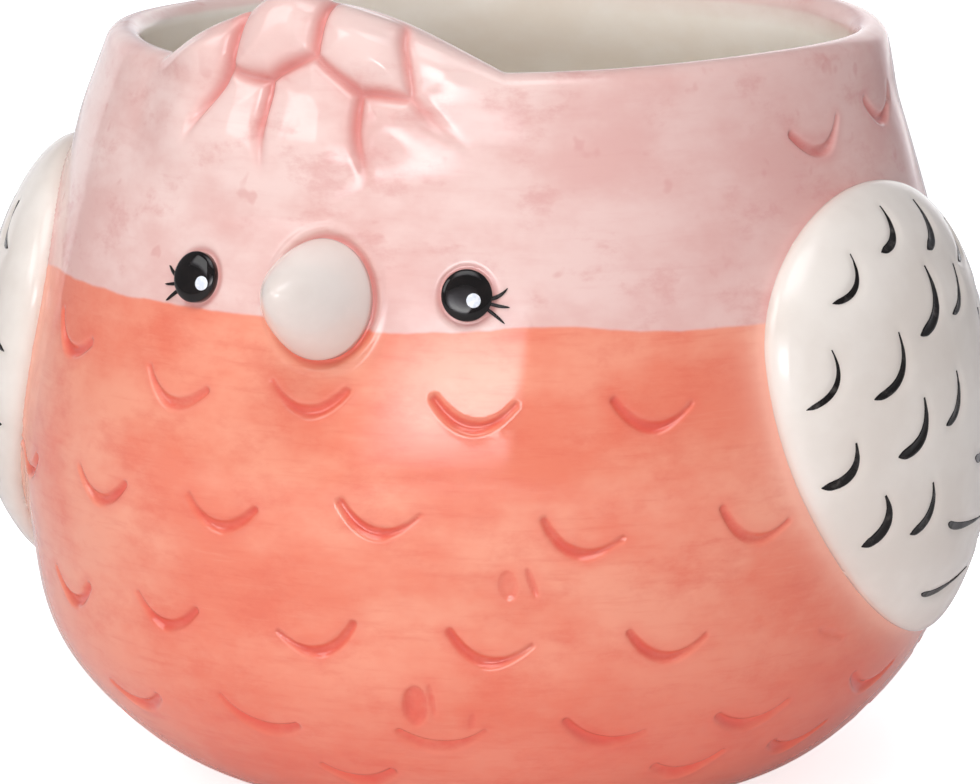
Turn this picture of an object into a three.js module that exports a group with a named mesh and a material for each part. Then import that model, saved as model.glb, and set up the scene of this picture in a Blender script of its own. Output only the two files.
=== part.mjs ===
// Flower pot in the form of a plump parrot: a slip-cast stoneware shell with wings, beak, eyes and
// crest feathers luted onto its wall, and a rubber plug in the drain hole.
// Millimetres, +Z up. The bird faces -Y, and its left side is +X.
import * as THREE from "three";

// Shell: foot, belly, neck and mouth
const footRadius = 38;
const footWidth = 6;
const footRecess = 3.5;
const footEdge = 1.5;
const baseReach = 16;
const bellyRadius = 70.2;
const bellyHeight = 48;
const bellyRunBelow = 25;
const bellyRunAbove = 20;
const neckSlope = 0.33;
const neckRun = 22;
const rimRadius = 57.2;
const rimHeight = 111;
const wallThickness = 5.5;
const floorThickness = 6;
const floorFillet = 14;
const mouthBand = 8;

// Fullness of the chest, in front and low on the belly
const chestSwell = 3;
const chestHeight = 19;
const chestSpan = 19;

// Rise of the rim that carries the crest, measured along the rim from the crest's middle
const crestOffset = -5.9;
const crestHalfWidth = 28.8;
const crestRise = 10.6;
const crestRun = 19;

// Applied pieces: how far each stands from the wall that it is luted to
const luteGap = 0.3;
const reliefEdge = 0.5;

// Wings
const wingBearing = 78.4;
const wingHeight = 70.7;
const wingHalfWidth = 27.6;
const wingAbove = 21.8;
const wingBelow = 44.4;
const wingTipLean = 10.8;
const wingCrown = 7.8;

// Beak: its middle's depth below the rim's height, and its size
const beakDepth = 30.6;
const beakHalfWidth = 7.4;
const beakHalfHeight = 8.2;
const beakCrown = 14.7;
const beakTipDrop = 0.6;

// Eyes: depth below the rim's height, and reach along the wall from the middle of the face
const eyeDepth = 29.3;
const eyeReach = 20.7;
const eyeRadius = 3.9;
const eyeCrown = 1.5;

// Drain hole and its plug
const drainRadius = 6.5;
const plugClearance = 0.3;
const plugTaper = 0.6;
const plugStand = 1;
const flangeOverlap = 4;
const flangeThickness = 1.8;
const plugHollowRadius = 3.6;
const plugHollowDepth = 6;

// Facets
const shellSegments = 60;
const curveSteps = 10;
const lipSteps = 6;
const filletSteps = 4;
const plugSegments = 24;
const wingSectors = 40;
const wingRings = 9;
const beakSectors = 24;
const beakRings = 7;
const eyeSectors = 18;
const eyeRings = 3;
const crestSteps = 5;
const crestRings = 4;

// The crest's net of grooves. Along the rim from the crest's middle, 1 is the half width of its rise.
// Up the wall, 0 is the rim's height, 1 the top of its rise and -1 the hem, which keeps clear of the beak.
const hemClearance = 6;
const crestDepth = beakDepth - beakHalfHeight - hemClearance;
const crestNet = {
  endRight: [-0.726, 0.094],
  endLeft: [0.958, 0.094],
  topRight: [-0.396, 0.85],
  topMiddle: [0.063, 1.085],
  topLeft: [0.49, 0.755],
  joinRight: [-0.427, -0.03],
  joinMiddle: [0.056, 0.236],
  joinLeft: [0.545, -0.171],
  forkRight: [-0.212, -0.122],
  forkLeft: [0.295, -0.207],
  hemRight: [-0.639, -0.73],
  hemMiddleRight: [-0.163, -0.975],
  hemMiddleLeft: [0.337, -1],
  hemLeft: [0.837, -0.67],
};
const crestGroove = 0.35;
const crestCrown = 4.6;

// The crest's feathers: the points of the net round each, and how high its crown stands and how far up
// it lies, both as shares of the fullest crown
const crestFeathers = [
  {
    name: "crest_feather_top_right",
    round: ["topMiddle", "topRight", "joinRight", "forkRight", "joinMiddle"],
    crown: 1,
    lift: 0,
  },
  {
    name: "crest_feather_top_left",
    round: ["topLeft", "topMiddle", "joinMiddle", "forkLeft", "joinLeft"],
    crown: 0.96,
    lift: 0,
  },
  {
    name: "crest_feather_outer_right",
    round: ["topRight", "endRight", "hemRight", "joinRight"],
    crown: 0.74,
    lift: 0.22,
  },
  {
    name: "crest_feather_outer_left",
    round: ["endLeft", "topLeft", "joinLeft", "hemLeft"],
    crown: 0.74,
    lift: 0.22,
  },
  {
    name: "crest_feather_low_right",
    round: ["joinRight", "hemRight", "hemMiddleRight", "forkRight"],
    crown: 0.57,
    lift: 0.33,
  },
  {
    name: "crest_feather_low_middle",
    round: ["joinMiddle", "forkRight", "hemMiddleRight", "hemMiddleLeft", "forkLeft"],
    crown: 0.65,
    lift: 0.54,
  },
  {
    name: "crest_feather_low_left",
    round: ["joinLeft", "forkLeft", "hemMiddleLeft", "hemLeft"],
    crown: 0.57,
    lift: 0.33,
  },
];

const turn = 2 * Math.PI;
const radians = THREE.MathUtils.degToRad;
const point = (radius, height) => new THREE.Vector2(radius, height);

const lipRadius = wallThickness / 2;
const neckTop = rimHeight - lipRadius;
const floorTop = footRecess + floorThickness;

// Outer profile: from the foot out to the belly, then up the neck to the lip
const belowBelly = new THREE.CubicBezierCurve(
  point(footRadius, footEdge),
  point(footRadius + baseReach, footEdge),
  point(bellyRadius, bellyHeight - bellyRunBelow),
  point(bellyRadius, bellyHeight),
);
const aboveBelly = new THREE.CubicBezierCurve(
  point(bellyRadius, bellyHeight),
  point(bellyRadius, bellyHeight + bellyRunAbove),
  point(rimRadius + neckSlope * neckRun, neckTop - neckRun),
  point(rimRadius, neckTop),
);

// Radius of the outer profile at a height; past the neck it goes on at the neck's slope
function profileRadius(height) {
  if (height >= neckTop) return rimRadius - neckSlope * (height - neckTop);
  const curve = height < bellyHeight ? belowBelly : aboveBelly;
  let low = 0;
  let high = 1;
  for (let i = 0; i < 40; i += 1) {
    const middle = (low + high) / 2;
    if (curve.getPoint(middle).y < height) low = middle;
    else high = middle;
  }
  return curve.getPoint(low).x;
}

// The chest's extra fullness at a radius, height and bearing from the face
function chestFullness(radius, height, bearing) {
  const reach = Math.abs(height - chestHeight) / chestSpan;
  if (reach >= 1) return 0;
  const outward = THREE.MathUtils.clamp((radius - footRadius) / (bellyRadius - footRadius), 0, 1);
  return chestSwell * outward * Math.cos((reach * Math.PI) / 2) ** 2 * (0.5 + 0.5 * Math.cos(bearing));
}

// How far the rim stands up at a distance along it from the middle of the face
function crestLift(along) {
  const reach = Math.abs(along - crestOffset) / crestHalfWidth;
  return reach >= 1 ? 0 : crestRise * Math.cos((reach * Math.PI) / 2);
}

// A point of the outer wall
function wallPoint(bearing, height) {
  const bare = profileRadius(height);
  const radius = bare + chestFullness(bare, height, bearing);
  return new THREE.Vector3(radius * Math.sin(bearing), -radius * Math.cos(bearing), height);
}

// The wall's outward direction
function wallNormal(bearing, height) {
  const step = 0.01;
  const along = wallPoint(bearing + step, height).sub(wallPoint(bearing - step, height));
  const up = wallPoint(bearing, height + step).sub(wallPoint(bearing, height - step));
  return along.cross(up).normalize();
}

// Inner wall: the outer profile set in by the wall's thickness, from the mouth band down to the floor
function innerProfile() {
  const mouthRadius = rimRadius - wallThickness;
  const points = [point(mouthRadius, neckTop - mouthBand)];
  const outer = [...belowBelly.getPoints(curveSteps), ...aboveBelly.getPoints(curveSteps).slice(1)].reverse();
  for (let i = 1; i < outer.length - 1; i += 1) {
    const along = outer[i + 1].clone().sub(outer[i - 1]).normalize();
    const inset = outer[i].clone().add(point(along.y, -along.x).multiplyScalar(wallThickness));
    const underBand = inset.y < neckTop - mouthBand - wallThickness / 2;
    if (underBand && inset.y > floorTop + floorFillet / 2) points.push(inset);
  }
  const last = points[points.length - 1];
  const corner = point(last.x - (last.y - floorTop), floorTop);
  const inside = point(corner.x - floorFillet / 2, floorTop);
  return [...points, ...new THREE.QuadraticBezierCurve(last, corner, inside).getPoints(filletSteps).slice(1)];
}

// Closed section of the shell: foot, outer wall, rolled lip, inner wall, floor, drain hole and recess
function shellProfile() {
  const lip = [];
  for (let i = 1; i <= lipSteps; i += 1) {
    const angle = (Math.PI * i) / lipSteps;
    const out = lipRadius * Math.cos(angle);
    const up = lipRadius * Math.sin(angle);
    lip.push(point(rimRadius - lipRadius + out, neckTop + up));
  }
  const recessRadius = footRadius - footWidth;
  return [
    point(footRadius, 0),
    ...belowBelly.getPoints(curveSteps),
    ...aboveBelly.getPoints(curveSteps).slice(1),
    ...lip,
    ...innerProfile(),
    point(drainRadius, floorTop),
    point(drainRadius, footRecess),
    point(recessRadius, footRecess),
    point(recessRadius, 0),
    point(footRadius, 0),
  ];
}

// The shell: the section turned round, then given its full chest and its raised crest
function shellGeometry() {
  const geometry = new THREE.LatheGeometry(shellProfile(), shellSegments);
  geometry.rotateX(Math.PI / 2);
  const spots = geometry.attributes.position;
  const spot = new THREE.Vector3();
  for (let i = 0; i < spots.count; i += 1) {
    spot.fromBufferAttribute(spots, i);
    const radius = Math.hypot(spot.x, spot.y);
    const bearing = Math.atan2(spot.x, -spot.y);
    const share = THREE.MathUtils.smoothstep(spot.z, rimHeight - crestRun, rimHeight);
    const lifted = spot.z + share * crestLift(bearing * rimRadius);
    const lean = profileRadius(lifted) - profileRadius(spot.z);
    const full = radius + lean + chestFullness(radius, spot.z, bearing);
    spots.setXYZ(i, full * Math.sin(bearing), -full * Math.cos(bearing), lifted);
  }
  return geometry;
}

// Egg outline: half ellipses above and below its widest line, with the lower tip swept sideways
function eggOutline({ half, above, below, tipLean = 0, sectors }) {
  const edge = [];
  for (let i = 0; i < sectors; i += 1) {
    const angle = (turn * i) / sectors;
    const up = Math.sin(angle) * (Math.sin(angle) > 0 ? above : below);
    const sweep = up < 0 ? tipLean * (up / below) ** 2 : 0;
    edge.push(point(half * Math.cos(angle) + sweep, up));
  }
  return edge;
}

// Rounded outline inside the corners that stand round it, drawn in by half a groove
function roundedOutline(corners, steps) {
  const edge = [];
  corners.forEach((corner, i) => {
    const before = corners[(i + corners.length - 1) % corners.length].clone().lerp(corner, 0.5);
    const after = corners[(i + 1) % corners.length].clone().lerp(corner, 0.5);
    edge.push(...new THREE.QuadraticBezierCurve(before, corner, after).getPoints(steps).slice(1));
  });
  return edge.map((spot) => spot.setLength(spot.length() - crestGroove));
}

// A piece luted to the wall: its back follows the wall, and its face is a dome over the outline.
// dome gives the height of the face from 0 at the middle to 1 at the edge.
function appliedPiece({ bearing, height, edge, tip = point(0, 0), crown, dome, rings }) {
  const middleRadius = profileRadius(height);
  const sectors = edge.length;
  const place = (spot, stand) => {
    const at = bearing + spot.x / middleRadius;
    const up = height + spot.y;
    return wallPoint(at, up).addScaledVector(wallNormal(at, up), luteGap + stand);
  };
  const vertices = [place(tip, crown), place(point(0, 0), 0)];
  const faces = [];
  const ringStart = (side, ring) => 2 + (side * rings + ring - 1) * sectors;
  for (let side = 0; side < 2; side += 1) {
    for (let ring = 1; ring <= rings; ring += 1) {
      const share = ring / rings;
      for (let i = 0; i < sectors; i += 1) {
        const spot = edge[i].clone().multiplyScalar(share);
        if (side === 0) spot.addScaledVector(tip, 1 - share);
        vertices.push(place(spot, side === 0 ? reliefEdge + (crown - reliefEdge) * dome(share) : 0));
      }
    }
  }
  const face = (a, b, c, flip) => faces.push(...(flip ? [a, c, b] : [a, b, c]));
  for (let i = 0; i < sectors; i += 1) {
    const next = (i + 1) % sectors;
    for (let side = 0; side < 2; side += 1) {
      face(side, ringStart(side, 1) + i, ringStart(side, 1) + next, side === 1);
      for (let ring = 1; ring < rings; ring += 1) {
        const inner = ringStart(side, ring);
        const outer = ringStart(side, ring + 1);
        face(inner + i, outer + i, outer + next, side === 1);
        face(inner + i, outer + next, inner + next, side === 1);
      }
    }
    const top = ringStart(0, rings);
    const back = ringStart(1, rings);
    face(top + i, back + i, back + next, false);
    face(top + i, back + next, top + next, false);
  }
  const geometry = new THREE.BufferGeometry();
  const spots = vertices.flatMap((vertex) => vertex.toArray());
  geometry.setAttribute("position", new THREE.Float32BufferAttribute(spots, 3));
  geometry.setIndex(faces);
  geometry.computeVertexNormals();
  return geometry;
}

// Domes: a full pillow, and a beak that draws to a blunt tip
const pillow = (share) => Math.sqrt(1 - share ** 2);
const bluntTip = (share) => (1 - share ** 1.7) ** 0.9;

function wingGeometry(side) {
  return appliedPiece({
    bearing: side * radians(wingBearing),
    height: wingHeight,
    edge: eggOutline({
      half: wingHalfWidth,
      above: wingAbove,
      below: wingBelow,
      tipLean: side * wingTipLean,
      sectors: wingSectors,
    }),
    crown: wingCrown,
    dome: pillow,
    rings: wingRings,
  });
}

function beakGeometry() {
  return appliedPiece({
    bearing: 0,
    height: rimHeight - beakDepth,
    edge: eggOutline({
      half: beakHalfWidth,
      above: beakHalfHeight,
      below: beakHalfHeight,
      sectors: beakSectors,
    }),
    tip: point(0, -beakTipDrop),
    crown: beakCrown,
    dome: bluntTip,
    rings: beakRings,
  });
}

function eyeGeometry(side) {
  const height = rimHeight - eyeDepth;
  return appliedPiece({
    bearing: (side * eyeReach) / profileRadius(height),
    height,
    edge: eggOutline({ half: eyeRadius, above: eyeRadius, below: eyeRadius, sectors: eyeSectors }),
    crown: eyeCrown,
    dome: pillow,
    rings: eyeRings,
  });
}

// A point of the crest's net: distance along the rim from the crest's middle, and height
function crestPoint(name) {
  const [along, level] = crestNet[name];
  return point(along * crestHalfWidth, rimHeight + level * (level > 0 ? crestRise : crestDepth));
}

function crestFeatherGeometry({ round, crown, lift }) {
  const corners = round.map(crestPoint);
  const middle = corners.reduce((sum, corner) => sum.add(corner), point(0, 0)).divideScalar(corners.length);
  return appliedPiece({
    bearing: (crestOffset + middle.x) / rimRadius,
    height: middle.y,
    edge: roundedOutline(corners.map((corner) => corner.clone().sub(middle)), crestSteps),
    tip: point(0, lift * crestCrown),
    crown: crown * crestCrown,
    dome: pillow,
    rings: crestRings,
  });
}

// Plug: a tapered shank through the floor, a flange under it and a hollow to pinch it by
function plugGeometry() {
  const shank = drainRadius - plugClearance;
  const flange = drainRadius + flangeOverlap;
  const flangeTop = footRecess - plugClearance;
  const flangeBottom = flangeTop - flangeThickness;
  const top = floorTop + plugStand;
  const profile = [
    point(0, flangeBottom + plugHollowDepth),
    point(plugHollowRadius, flangeBottom + plugHollowDepth),
    point(plugHollowRadius, flangeBottom),
    point(flange, flangeBottom),
    point(flange, flangeTop),
    point(shank, flangeTop),
    point(shank - plugTaper, top - plugTaper),
    point(shank - 2 * plugTaper, top),
    point(0, top),
  ];
  const geometry = new THREE.LatheGeometry(profile, plugSegments);
  return geometry.rotateX(Math.PI / 2);
}

const glazed = (color) => new THREE.MeshStandardMaterial({ color, roughness: 0.16, metalness: 0 });
const pinkGlaze = glazed(0xeac4ba);
const coralGlaze = glazed(0xf08c70);
const ivoryGlaze = glazed(0xece4d9);
const blackGlaze = glazed(0x120b09);
const greyRubber = new THREE.MeshStandardMaterial({ color: 0xd8d5cf, roughness: 0.7, metalness: 0 });

const pot = new THREE.Group();
function add(name, geometry, material) {
  const mesh = new THREE.Mesh(geometry, material);
  mesh.name = name;
  pot.add(mesh);
}

add("pot_body", shellGeometry(), coralGlaze);
add("left_wing", wingGeometry(1), ivoryGlaze);
add("right_wing", wingGeometry(-1), ivoryGlaze);
add("beak", beakGeometry(), ivoryGlaze);
add("left_eye", eyeGeometry(1), blackGlaze);
add("right_eye", eyeGeometry(-1), blackGlaze);
crestFeathers.forEach((feather) => add(feather.name, crestFeatherGeometry(feather), pinkGlaze));
add("drain_plug", plugGeometry(), greyRubber);

// Stand the pot with the middle of its outline over the origin
const outline = new THREE.Box3().setFromObject(pot);
pot.position.set(-(outline.min.x + outline.max.x) / 2, -(outline.min.y + outline.max.y) / 2, 0);

const flowerPot = new THREE.Group();
flowerPot.add(pot);

export default flowerPot;
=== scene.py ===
import math

import bmesh
import bpy
import numpy as np
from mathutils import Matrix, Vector


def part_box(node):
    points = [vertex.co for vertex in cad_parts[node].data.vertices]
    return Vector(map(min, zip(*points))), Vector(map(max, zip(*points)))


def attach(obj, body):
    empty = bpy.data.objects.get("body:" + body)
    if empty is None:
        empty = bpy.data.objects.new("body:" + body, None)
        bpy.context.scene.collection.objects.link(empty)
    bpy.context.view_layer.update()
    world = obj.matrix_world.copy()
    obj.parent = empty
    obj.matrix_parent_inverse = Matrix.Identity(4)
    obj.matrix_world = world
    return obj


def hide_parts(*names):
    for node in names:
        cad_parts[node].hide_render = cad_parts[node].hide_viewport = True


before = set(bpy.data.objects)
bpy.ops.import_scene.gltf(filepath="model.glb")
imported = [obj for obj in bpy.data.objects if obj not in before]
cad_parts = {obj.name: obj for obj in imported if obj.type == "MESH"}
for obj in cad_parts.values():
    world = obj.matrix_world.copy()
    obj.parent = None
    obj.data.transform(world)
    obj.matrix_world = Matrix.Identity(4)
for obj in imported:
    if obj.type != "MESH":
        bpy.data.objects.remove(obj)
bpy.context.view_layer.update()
mm = 0.001
shellLow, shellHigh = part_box("pot_body")
axisY = (shellLow.y + shellHigh.y) / 2 / mm  # the pot's axis, in mm
print("frame loaded, axis at y", round(axisY, 2), "mm")

# shapes are worked out in mm from the pot's axis; bearings are radians from the face towards the bird's left
potShell = {
    "footRadius": 38.0, "footWidth": 6.0, "footRecess": 3.5, "footEdge": 1.5, "footRound": 0.5,
    "baseReach": 16.0, "bellyRadius": 70.2, "bellyHeight": 48.0, "bellyRunBelow": 25.0, "bellyRunAbove": 20.0,
    "neckSlope": 0.33, "neckRun": 22.0, "rimRadius": 57.2, "rimHeight": 111.0, "wall": 5.5, "floor": 6.0,
    "mouthBand": 5.0, "bandEase": 28.0, "floorFillet": 7.0, "drainRadius": 6.5,
    "chestSwell": 3.0, "chestHeight": 19.0, "chestSpan": 19.0,
    "crestOffset": -5.9, "crestHalfWidth": 28.8, "crestRise": 9.0, "crestStart": 92.0,
    # left by the hand: waves, a leaning rim, and a fuller shoulder and higher rim towards the bird's right
    "handWave": 0.1, "rimWave": 0.3, "rimLean": 1.1, "rimTilt": 1.0, "leanBearing": 1.95, "leanRun": 12.0,
    "shoulder": 0.6, "shoulderHeight": 100.0, "shoulderRun": 7.0, "shoulderBearing": -1.2,
    "shoulderSpan": 0.5, "rightRise": 1.3, "riseBearing": -1.05, "riseSpan": 0.6,
    # mesh cells, steps round the pot, and the bearing and radius within which the face has finer cells
    "cell": 1.35, "innerCell": 4.5, "turns": 328, "faceBearing": math.radians(96), "faceRadius": 66.0,
}
neckTop = potShell["rimHeight"] - potShell["wall"] / 2
floorTop = potShell["footRecess"] + potShell["floor"]
# the lip rolls over from the neck's slope
lipRadius = potShell["wall"] / 2
lipStart = math.atan(potShell["neckSlope"])
lipLow = neckTop + lipRadius * math.sin(lipStart)


def smoothstep(low, high, x):
    t = np.clip((x - low) / (high - low), 0, 1)
    return t * t * (3 - 2 * t)


def bell(x, width):
    return np.exp(-((x / width) ** 2))


# a ring round an outline: its height, its run from the outline and its width
def ring(run, height, at, width):
    return height * bell(run - at, width)


def bezier(points, steps=300):
    t = np.linspace(0, 1, steps)[:, None]
    a, b, c, d = (np.array(p, float) for p in points)
    return (1 - t) ** 3 * a + 3 * (1 - t) ** 2 * t * b + 3 * (1 - t) * t ** 2 * c + t ** 3 * d


def resample(line, step):
    line = np.array(line, float)
    run = np.concatenate([[0], np.cumsum(np.hypot(*np.diff(line, axis=0).T))])
    at = np.linspace(0, run[-1], max(2, int(round(run[-1] / step)) + 1))
    return np.column_stack([np.interp(at, run, line[:, k]) for k in (0, 1)])


def outerLine():
    s = potShell
    foot, belly, rim = s["footRadius"], s["bellyRadius"], s["rimRadius"]
    middle = s["bellyHeight"]
    lower = bezier([(foot, s["footEdge"]), (foot + s["baseReach"], s["footEdge"]),
                    (belly, middle - s["bellyRunBelow"]), (belly, middle)])
    upper = bezier([(belly, middle), (belly, middle + s["bellyRunAbove"]),
                    (rim + s["neckSlope"] * s["neckRun"], neckTop - s["neckRun"]), (rim, neckTop)])
    return np.vstack([lower, upper[1:]])


profileLine = outerLine()


def profileRadius(z):
    beyond = potShell["rimRadius"] - potShell["neckSlope"] * (z - neckTop)
    return np.where(z > neckTop, beyond, np.interp(z, profileLine[:, 1], profileLine[:, 0]))


lipMiddle = float(profileRadius(lipLow)) - lipRadius * math.cos(lipStart)


def lipLine(angles):
    return np.column_stack([lipMiddle + lipRadius * np.cos(angles), neckTop + lipRadius * np.sin(angles)])


def chestFullness(r, z, b):
    s = potShell
    reach = np.clip(np.abs(z - s["chestHeight"]) / s["chestSpan"], 0, 1)
    outward = np.clip((r - s["footRadius"]) / (s["bellyRadius"] - s["footRadius"]), 0, 1)
    return s["chestSwell"] * outward * np.cos(reach * np.pi / 2) ** 2 * (0.5 + 0.5 * np.cos(b))


def crestLift(along):
    reach = np.clip(np.abs(along - potShell["crestOffset"]) / potShell["crestHalfWidth"], 0, 1)
    return potShell["crestRise"] * np.cos(reach * np.pi / 2)


# the mouth is not quite level: higher towards both sides, and a little wavy
def rimWave(b):
    s = potShell
    wave = s["rimWave"] * (np.sin(2 * b + 0.6) + 0.6 * np.sin(5 * b + 2))
    tilt = s["rimTilt"] * np.cos(b - s["leanBearing"])
    return wave + tilt + s["rightRise"] * bell(b - s["riseBearing"], s["riseSpan"])


# a point of the turned section, raised where the crest stands, filled out at the chest and leaning at the rim
def raisedPoint(b, r, z):
    s = potShell
    share = smoothstep(s["crestStart"], s["rimHeight"], z)
    lifted = z + share * (crestLift(b * s["rimRadius"]) + rimWave(b))
    r = r + profileRadius(lifted) - profileRadius(z) + chestFullness(r, z, b)
    toLeft = 0.5 + 0.5 * np.cos(b - s["leanBearing"])
    r = r + s["rimLean"] * toLeft * smoothstep(s["rimHeight"] - s["leanRun"], s["rimHeight"], z)
    beside = bell(b - s["shoulderBearing"], s["shoulderSpan"])
    r = r + s["shoulder"] * bell(z - s["shoulderHeight"], s["shoulderRun"]) * beside
    return np.stack([r * np.sin(b), -r * np.cos(b), lifted], -1)


# unevenness that the mould and the hand leave on the wall, fading at the foot and the lip: only inwards,
# because the waves' heights add up to 2.1
def handUneven(b, z):
    wave = np.sin(3 * b + z / 17) + np.sin(7 * b - z / 9 + 1) * 0.6 + np.sin(z / 6 + 2 * b) * 0.5
    return potShell["handWave"] * (wave - 2.1) * smoothstep(2, 12, z) * smoothstep(neckTop, neckTop - 8, z)


def wallPoint(b, z):
    r = profileRadius(z)
    r = r + chestFullness(r, z, b)
    return np.stack([r * np.sin(b), -r * np.cos(b), z], -1)


def wallNormal(b, z):
    across = wallPoint(b + 0.002, z) - wallPoint(b - 0.002, z)
    up = wallPoint(b, z + 0.1) - wallPoint(b, z - 0.1)
    n = np.cross(across, up)
    return n / np.linalg.norm(n, axis=-1, keepdims=True)


def onWall(b, z, stand):
    b, z, stand = np.broadcast_arrays(np.asarray(b, float), np.asarray(z, float), np.asarray(stand, float))
    return wallPoint(b, z) + wallNormal(b, z) * stand[..., None]


def addObject(name, bm, material, attributes=None):
    mesh = bpy.data.meshes.new(name)
    bm.to_mesh(mesh)
    bm.free()
    for label, values in (attributes or {}).items():
        mesh.attributes.new(label, "FLOAT", "POINT").data.foreach_set("value", np.asarray(values, np.float32))
    mesh.materials.append(material)
    made = bpy.data.objects.new(name, mesh)
    bpy.context.scene.collection.objects.link(made)
    return made


def finishPiece(name, bm, material, attributes=None, body="pot", nodes=()):
    bmesh.ops.recalc_face_normals(bm, faces=bm.faces)
    piece = addObject(name, bm, material, attributes)
    piece.data.shade_smooth()
    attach(piece, body)
    if nodes:
        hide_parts(*nodes)
    print("made", name, len(piece.data.polygons), "faces")
    return piece


# puts vertices at points that are in mm from the pot's axis
def putAt(verts, points):
    for v, p in zip(verts, (points + np.array([0, axisY, 0])) * mm):
        v.co = p


# a section in mm, turned about the axis
def turned(section, turns, closed):
    bm = bmesh.new()
    line = [bm.verts.new((r, 0, z)) for r, z in section]
    ends = line[1:] + line[:1] if closed else line[1:]
    edges = [bm.edges.new(pair) for pair in zip(line, ends)]
    bmesh.ops.spin(bm, geom=line + edges, cent=(0, 0, 0), axis=(0, 0, 1), dvec=(0, 0, 0), angle=2 * math.pi,
                   steps=turns, use_merge=True, use_duplicate=False)
    bmesh.ops.remove_doubles(bm, verts=bm.verts, dist=0.01)
    return bm


# a closed patch on the wall: a grid for its face, its copy for its back, and a band that joins their edges
def addPatch(bm, cells, place, sharpRim=False):
    made = bmesh.ops.create_grid(bm, x_segments=cells[0], y_segments=cells[1], size=1)["verts"]
    grid = np.array([v.co[:2] for v in made])
    faces = list({f for v in made for f in v.link_faces})
    rim = [e for e in {e for f in faces for e in f.edges} if e.is_boundary]
    copied = bmesh.ops.duplicate(bm, geom=list(made) + faces)
    back = [copied["vert_map"][v] for v in made]
    backFaces = [g for g in copied["geom"] if isinstance(g, bmesh.types.BMFace)]
    backRim = [e for e in {e for f in backFaces for e in f.edges} if e.is_boundary]
    putAt(made, place(grid, True))
    putAt(back, place(grid, False))
    bmesh.ops.reverse_faces(bm, faces=backFaces)
    bmesh.ops.bridge_loops(bm, edges=rim + backRim)
    for e in rim:
        e.smooth = not sharpRim


def squareToDisc(grid):
    x, y = grid.T
    return np.column_stack([x * np.sqrt(1 - y ** 2 / 2), y * np.sqrt(1 - x ** 2 / 2)])


# the same disc with closer rows towards its edge, where a dome turns down
def squareToDome(grid):
    disc = squareToDisc(grid)
    share = np.hypot(*disc.T)
    return disc * (np.sin(share * np.pi / 2) / np.maximum(share, 1e-9))[:, None]


# materials
def linear(code):
    parts = [int(code[i:i + 2], 16) / 255 for i in (1, 3, 5)]
    return tuple(c / 12.92 if c <= 0.04045 else ((c + 0.055) / 1.055) ** 2.4 for c in parts) + (1.0,)


# adds a shader node with its settings; an input takes a value, a hex colour or the socket that feeds it
def add(tree, kind, inputs=None, output=0, **settings):
    node = tree.nodes.new("ShaderNode" + kind)
    for key, value in settings.items():
        setattr(node, key, value)
    for key, value in (inputs or {}).items():
        if isinstance(value, bpy.types.NodeSocket):
            tree.links.new(value, node.inputs[key])
        else:
            node.inputs[key].default_value = linear(value) if isinstance(value, str) else value
    return node.outputs[output]


def startMaterial(name, **shader):
    material = bpy.data.materials.new(name)
    material.use_nodes = True
    tree = material.node_tree
    bsdf = tree.nodes["Principled BSDF"]
    for key, value in shader.items():
        bsdf.inputs[key].default_value = value
    return material, tree, bsdf


# a cloudy pattern whose patches are about a size in mm across, taken from a place of its own
def patches(tree, size, stretch=(1, 1, 1), detail=3.0, rough=0.5, shift=0.0):
    coords = add(tree, "TexCoord", output="Object")
    scale = [k / (size * mm) for k in stretch]
    apart = (shift, shift * 0.7, shift * 1.3)
    mapped = add(tree, "Mapping", {"Vector": coords, "Scale": scale, "Location": apart})
    return add(tree, "TexNoise",
               {"Vector": mapped, "Scale": 1.0, "Detail": detail, "Roughness": rough}, "Fac")


# lays one colour over another where a pattern runs from low to high, as thickly as share says
def layOver(tree, under, over, pattern, low=0.0, high=1.0, share=1.0, shape="SMOOTHSTEP"):
    span = {"Value": pattern, "From Min": low, "From Max": high, "To Max": share}
    level = add(tree, "MapRange", span, interpolation_type=shape)
    return add(tree, "Mix", {"Factor": level, 6: under, 7: over}, 2, data_type="RGBA")


# melted glaze is never quite flat
def glazeRipple(tree, bsdf, size, height):
    ripple = patches(tree, size, detail=1.5)
    bump = add(tree, "Bump", {"Height": ripple, "Strength": 1.0, "Distance": height * mm})
    tree.links.new(bump, bsdf.inputs["Normal"])


stonewareGlaze = {"Roughness": 0.07, "IOR": 1.5, "Specular IOR Level": 0.5}

# brushed underglaze on stoneware under clear glaze: streaks and cloudy washes of colour, darker where
# colour has run into the impressed marks, and a wet, hard gloss that ripples a little
brushedColours = {
    "pinkPale": "#f1d3ca", "pink": "#e6bab1", "pinkDeep": "#d8968f", "pinkPool": "#d8746c",
    "coralPale": "#f5a184", "coral": "#ee8468", "coralDeep": "#e2644d", "coralPool": "#e65d4c",
    # the pale peach along the wings is lighter than its own colour, as painted light against the wings' shade
    "edgePeachAndLight": "#fac8b2", "cream": "#fcf6ea", "creamShade": "#f6ecdc",
    # the line between pink and coral: its height, softness and waver, and how far it drops and dips
    "lineHeight": 77.5, "lineSoft": 0.3, "lineWaver": 1.2, "lineDrop": 1.6, "lineDip": 1.1,
    # shares of the deeper, darker colour towards the bird's left and towards the foot
    "deepSidePink": 0.34, "deepSideCoral": 0.08, "lowCoral": 0.36, "lowDeepSide": 0.3,
    # from and to in mm, towards the bird's left, or in height for the darkening towards the foot
    "deepSideSpan": (12, 62), "footSpan": (42, 12), "dropSpan": (24, 56), "dipSpan": (0, 7), "dipEnd": (30, 16),
}


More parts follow.
